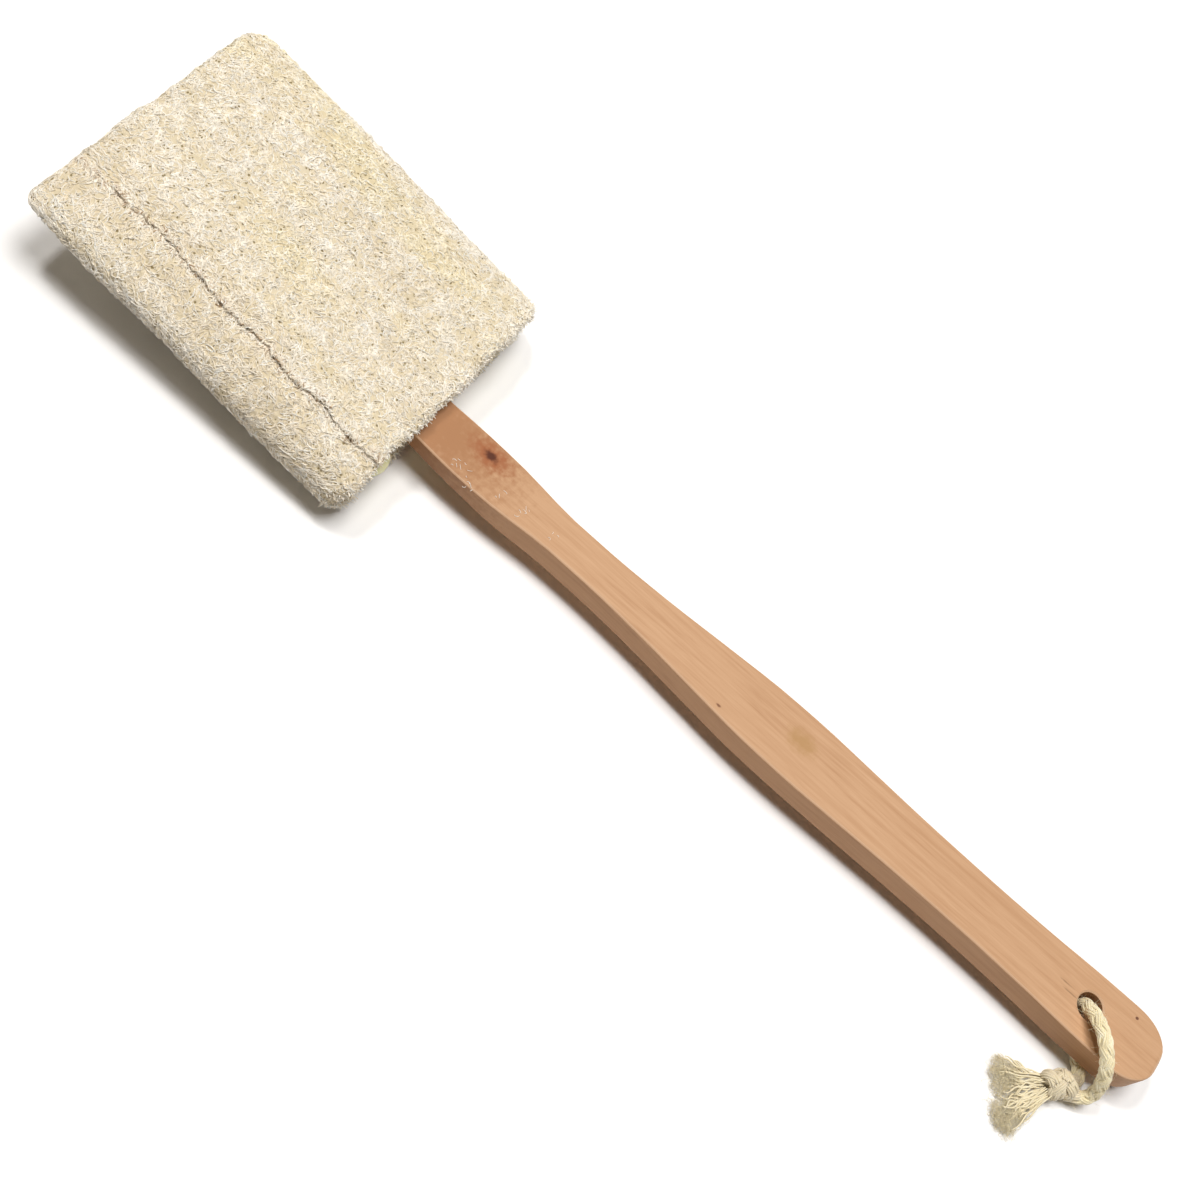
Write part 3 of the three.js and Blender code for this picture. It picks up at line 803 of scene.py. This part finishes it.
def head_surface():
    """The head's outside and mouth as a grid of points in mm, the crack's painted shade and lip column, and
    the last row outside.
    """
    profile, last_outer = head_profile()
    angle = section_angles()
    x = profile[:, :1] + 0 * angle
    across, high = pillow(angle[None], profile[:, 1:2])
    z = high * profile[:, 2:3] * through(THINNING, x)
    z = z - mouth_sag(x, across, high)
    y, z, browning_and_crack_shade, lip = lay_seam(x, across, z)
    open_end = np.exp(np.minimum(x, 0) / MOUTH_REACH)
    beside = np.stack([y, 0 * y], axis=-1)
    x = round_plan(x, y) + MOUTH_WAVES[0] * open_end * waves(beside, *MOUTH_WAVES[1:])
    far_end = np.exp(-(x + HEAD_LENGTH) / FAR_REACH)
    x = x + FAR_WAVES[0] * far_end * waves(beside, *FAR_WAVES[1:])
    grid = np.stack([x, y, z], axis=-1)
    two_sides = np.sign(z)[..., None] * 50  # far apart, so that the underside has ridges of its own
    ridges = waves(grid[..., :2] * np.array([RIDGE_STRETCH, 1]) + two_sides, *RIDGES[1:])
    lumps = waves(grid, *LUMPS[1:])
    pits = waves(grid, *PITS[1:], PIT_WAVES)
    relief = RIDGES[0] * ridges + LUMPS[0] * lumps + PITS[0] * pits
    relief = relief * (np.arange(len(profile)) < last_outer)[:, None]
    grid = grid + grid_normals(grid) * relief[..., None]
    return grid, browning_and_crack_shade, lip, last_outer


# ---- Loofah fibres ----

BANDS = 6  # lengthwise bands of the surface, one piece of loose fibres each
BAND_FIBRES = 7000
MOUTH_FIBRES = 2600
SEAM_FIBRES = 1700
ROOT_DEPTH = 0.12  # how far a fibre's ends lie below the surface
HEADING_WAVES = (2.4, 15, 12)  # fibres near each other lie roughly the same way


def on_grid(grid, row, column):
    """A grid's values at fractional rows and columns. The columns go round."""
    rows, columns = grid.shape[:2]
    r = np.clip(np.floor(row).astype(int), 0, rows - 2)
    c = np.floor(column).astype(int)
    down, over = np.clip(row - r, 0, 1)[..., None], (column - c)[..., None]
    here, there = c % columns, (c + 1) % columns
    near = grid[r, here] * (1 - over) + grid[r, there] * over
    far = grid[r + 1, here] * (1 - over) + grid[r + 1, there] * over
    return near * (1 - down) + far * down


def curled_fibres(grid, normals, row, column, length, curl, lift, steps=7):
    """Centre lines, in mm, that wander over the surface, rise off it and dive back in."""
    count = len(row)
    start = on_grid(grid, row, column)
    heading = HEADING_WAVES[0] * waves(start, *HEADING_WAVES[1:]) + random.normal(0, 0.7, count)
    bend = random.normal(0, 1, count) * curl / length
    stride = length / (steps - 1)
    rows, columns = [row], [column]
    for _ in range(steps - 1):
        rows.append(rows[-1] + np.sin(heading) * stride / SPACING)
        columns.append(columns[-1] + np.cos(heading) * stride / SPACING)
        heading = heading + bend * stride
    rows, columns = np.stack(rows, axis=1), np.stack(columns, axis=1)
    rows = np.clip(rows, 0.5, None)
    t = np.linspace(0, 1, steps)
    height = lift[:, None] * np.sin(math.pi * t) ** 0.6 - ROOT_DEPTH
    return on_grid(grid, rows, columns) + on_grid(normals, rows, columns) * height[..., None]


def fibre_object(name, lines, radius, tint, browning_and_crack_shade):
    """Fibres as one piece. lines are in mm, and the rest has one value for each fibre."""
    count, steps = lines.shape[:2]
    sides = 3
    clear_of_floor = 0.3 * MM
    lines = head_to_part(lines)
    lines[..., 2] = np.maximum(lines[..., 2], clear_of_floor)
    points, faces = tubes(lines, tapered(count, steps, radius * MM, tip=0.6), sides)
    values = {"tint": np.repeat(tint, steps * sides), "browning_and_crack_shade": np.repeat(browning_and_crack_shade, steps * sides)}
    return make_object(name, points, faces, values)


def surface_fibres(grid, normals, last_outer, band):
    """The loose fibres of one lengthwise band of the surface."""
    columns = grid.shape[1]
    count = BAND_FIBRES
    row = random.uniform(1, last_outer - 3, count)
    column = random.uniform(band, band + 1, count) * columns / BANDS
    length = random.uniform(2.2, 5.4, count)
    stray = random.random(count) < 0.05
    lift = random.uniform(0.18, 0.45, count) + stray * random.uniform(0.1, 0.5, count)
    lines = curled_fibres(grid, normals, row, column, length, curl=3.2, lift=lift)
    radius = random.uniform(0.12, 0.19, count)
    tint = random.beta(2.2, 1.8, count)
    return fibre_object(f"loofah_fibres_{band + 1}", lines, radius, tint, np.zeros(count))


def mouth_fibres(grid, normals, last_outer):
    """Cut fibre ends that stand out of the mouth's rim."""
    count = MOUTH_FIBRES
    row = last_outer - random.uniform(0.5, 9, count)
    column = random.uniform(0, grid.shape[1], count)
    start = on_grid(grid, row, column)
    outward = np.array([0.35, 0, 0])
    out = on_grid(normals, row, column) + random.normal(0, 0.55, (count, 3)) + outward
    drift = random.normal(0, 0.5, (count, 3))
    length = random.uniform(0.5, 1.7, count)[:, None, None]
    t = np.linspace(0, 1, 5)[None, :, None]
    root = 0.15  # share of each fibre below the surface
    lines = start[:, None] + unit(out)[:, None] * length * (t - root) + drift[:, None] * length * t * t * 0.5
    tint = random.uniform(0.5, 1, count)
    radius = random.uniform(0.12, 0.22, count)
    return fibre_object("loofah_mouth_fibres", lines, radius, tint, np.zeros(count))


def seam_fibres(grid, normals, lip, last_outer):
    """Short fibres along the overlap's edge, some of them browned."""
    count = SEAM_FIBRES
    row = random.uniform(6, last_outer - 4, count)
    column = lip + 0.5 + random.normal(-0.5, 0.9, count)
    length = random.uniform(1.2, 3, count)
    lift = random.uniform(0.3, 0.8, count)
    lines = curled_fibres(grid, normals, row, column, length, curl=1.6, lift=lift)
    dark = (random.random(count) < 0.2) * random.uniform(0.2, 0.9, count)
    radius = random.uniform(0.13, 0.22, count)
    tint = random.uniform(0.2, 0.9, count)
    return fibre_object("loofah_seam_fibres", lines, radius, tint, dark)


# ---- Foam pad, level and in mm ----

FOAM_INSET = 4.9  # from the head's outside to the pad
FOAM_FRONT = -6.5  # where the pad starts to round off towards its front
FOAM_ROUND = [3, 4]  # length and depth of that rounding
# Its back end inside the head and the middle of its front: x, inset and share of the height.
FOAM_BACK = [[-60, 12, 1], [-58, 6, 1], [-40, FOAM_INSET, 1], [-20, FOAM_INSET, 1]]
FOAM_CLOSING = [[-3.4, 10.2, 1], [-3.4, 11.6, 1], [-3.4, 12.9, 0.2]]
LOBE_CENTRE = [-2.2, -33, 1]
LOBE_RADII = [4.4, 6.3, 2.6]


def foam_body():
    """The front of the pad. The part deeper inside the head can't be seen and isn't made."""
    turn = np.linspace(0, math.pi / 2, 9)
    x = FOAM_FRONT + FOAM_ROUND[0] * np.sin(turn)
    inset = FOAM_INSET + FOAM_ROUND[1] * (1 - np.cos(turn))
    front = np.stack([x, inset, 0 * turn + 1], axis=1)
    profile = np.concatenate([FOAM_BACK, front, FOAM_CLOSING])
    angle = np.linspace(0, 2 * math.pi, 241)[:-1]
    across, high = pillow(angle[None], profile[:, 1:2])
    grid = np.stack([profile[:, :1] + 0 * across, across, high * profile[:, 2:3]], axis=-1)
    grid[..., 0] += 0.5 * waves(grid[..., 1:], 9, 14)
    return grid.reshape(-1, 3), grid_faces(*grid.shape[:2])


def foam_lobe():
    """The pad's lobe that peeps out beside the handle: an ellipsoid."""
    polar = np.linspace(0, math.pi, 33)
    pole = 0.002  # keeps its two poles open by a hair
    middle = np.array(LOBE_CENTRE)
    line = middle - np.cos(polar)[:, None] * [0, LOBE_RADII[1], 0]
    points, faces = tubes(line[None], (np.sin(polar) + pole)[None], sides=32)
    level = middle * [1, 0, 1]
    return (points - level) * [LOBE_RADII[0], 1, LOBE_RADII[2]] + level, faces


def make_foam(material):
    points, faces = joined([foam_body(), foam_lobe()])
    foam = make_object("foam_pad", head_to_part(points), faces)
    wear(foam, material)
    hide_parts("foam_core")
    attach(foam, "scrubber")


def make_head():
    grid, browning_and_crack_shade, lip, last_outer = head_surface()
    normals = grid_normals(grid)
    points = head_to_part(grid.reshape(-1, 3))
    pouch = make_object("loofah_pouch_mat", points, grid_faces(*grid.shape[:2]), {"browning_and_crack_shade": browning_and_crack_shade})
    wear(pouch, loofah_mat_material())
    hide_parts("loofah_pouch")
    fibre = loofah_fibre_material()
    pieces = [surface_fibres(grid, normals, last_outer, band) for band in range(BANDS)]
    pieces.append(mouth_fibres(grid, normals, last_outer))
    pieces.append(seam_fibres(grid, normals, lip, last_outer))
    for piece in pieces:
        wear(piece, fibre)
        piece.parent = pouch
    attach(pouch, "scrubber")
    make_foam(foam_material())


# ---- Handle ----

# Where bits of loofah fibre lie on the handle, in mm from its start. Near each lie two more.
LINT_PLACES = [
    [15, -8.3], [16.2, -7.4], [21.1, -8.2], [23, -9],
    [33.3, -5.2], [41.7, -4.1], [43, -2.8], [54.6, -1.9],
]
LINT_STRAY = 3
LINT_RADIUS = 0.08


def make_lint():
    """Bits of loofah fibre that lie on the handle by the head."""
    places = len(LINT_PLACES)
    start = np.array(LINT_PLACES * 3, float)
    start[places:] += random.uniform(-LINT_STRAY, LINT_STRAY, (2 * places, 2))
    heading = random.uniform(0, math.pi, len(start))[:, None]
    t = np.linspace(-1, 1, 7)[None]
    bend = random.uniform(-0.8, 0.8, (len(start), 1))
    half_length = random.uniform(0.3, 1.1, (len(start), 1))
    turn = heading + bend * t
    flat = start[:, None] + np.stack([np.cos(turn), np.sin(turn)], axis=-1) * (half_length * t)[..., None]
    up = through(HANDLE_TOPS, flat[..., 0]) + 0.1
    lines = np.concatenate([HANDLE_START[:2] + flat * MM, up[..., None] * MM], axis=-1)
    points, faces = tubes(lines, tapered(*lines.shape[:2], LINT_RADIUS * MM, tip=0.5), sides=4)
    lint = make_object("loofah_lint", points, faces, {"tint": np.full(len(points), 0.9)})
    wear(lint, bpy.data.materials["loofah_fibre"])
    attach(lint, "scrubber")


def make_handle():
    wear(frame["nodes"]["wooden_handle"], wood_material())
    make_lint()


# ---- Stage ----

FLOOR_REACH = 6
FLOOR_WHITE = (0.93, 0.925, 0.93, 1)
FILL_LIGHT = (1, 0.88, 0.7, 1)  # warm, as the photo's shadows are brown
FILL_STRENGTH = 0.09


def make_stage():
    corners = np.array([[-1, -1, 0], [1, -1, 0], [1, 1, 0], [-1, 1, 0]]) * FLOOR_REACH
    floor = make_object("floor", corners, np.array([[0, 1, 2, 3]]))
    material, _, shader = new_material("floor_white")
    shader.inputs["Base Color"].default_value = FLOOR_WHITE
    shader.inputs["Roughness"].default_value = 0.9
    shader.inputs["Specular IOR Level"].default_value = 0.1
    floor.data.materials.append(material)


def area_light(name, where, size, power, colour):
    """A round light that faces the part."""
    data = bpy.data.lights.new(name, "AREA")
    data.shape = "DISK"
    data.size = size
    data.energy = power
    data.color = colour
    light = bpy.data.objects.new(name, data)
    bpy.context.scene.collection.objects.link(light)
    light.location = where
    light.rotation_euler = (-Vector(where)).to_track_quat("-Z", "Y").to_euler()


def make_lights():
    world = bpy.data.worlds.new("studio")
    bpy.context.scene.world = world
    world.use_nodes = True
    background = world.node_tree.nodes["Background"]
    background.inputs["Color"].default_value = FILL_LIGHT
    background.inputs["Strength"].default_value = FILL_STRENGTH
    area_light("key", where=(-1.1, 0.02, 2.6), size=0.4, power=26, colour=(1, 0.985, 0.96))
    area_light("overhead", where=(0.1, 0.14, 2.6), size=1.3, power=62, colour=(1, 0.99, 0.975))
    bpy.context.scene.view_settings.view_transform = "Standard"


make_camera()
make_cords()
make_head()
make_handle()
make_stage()
make_lights()
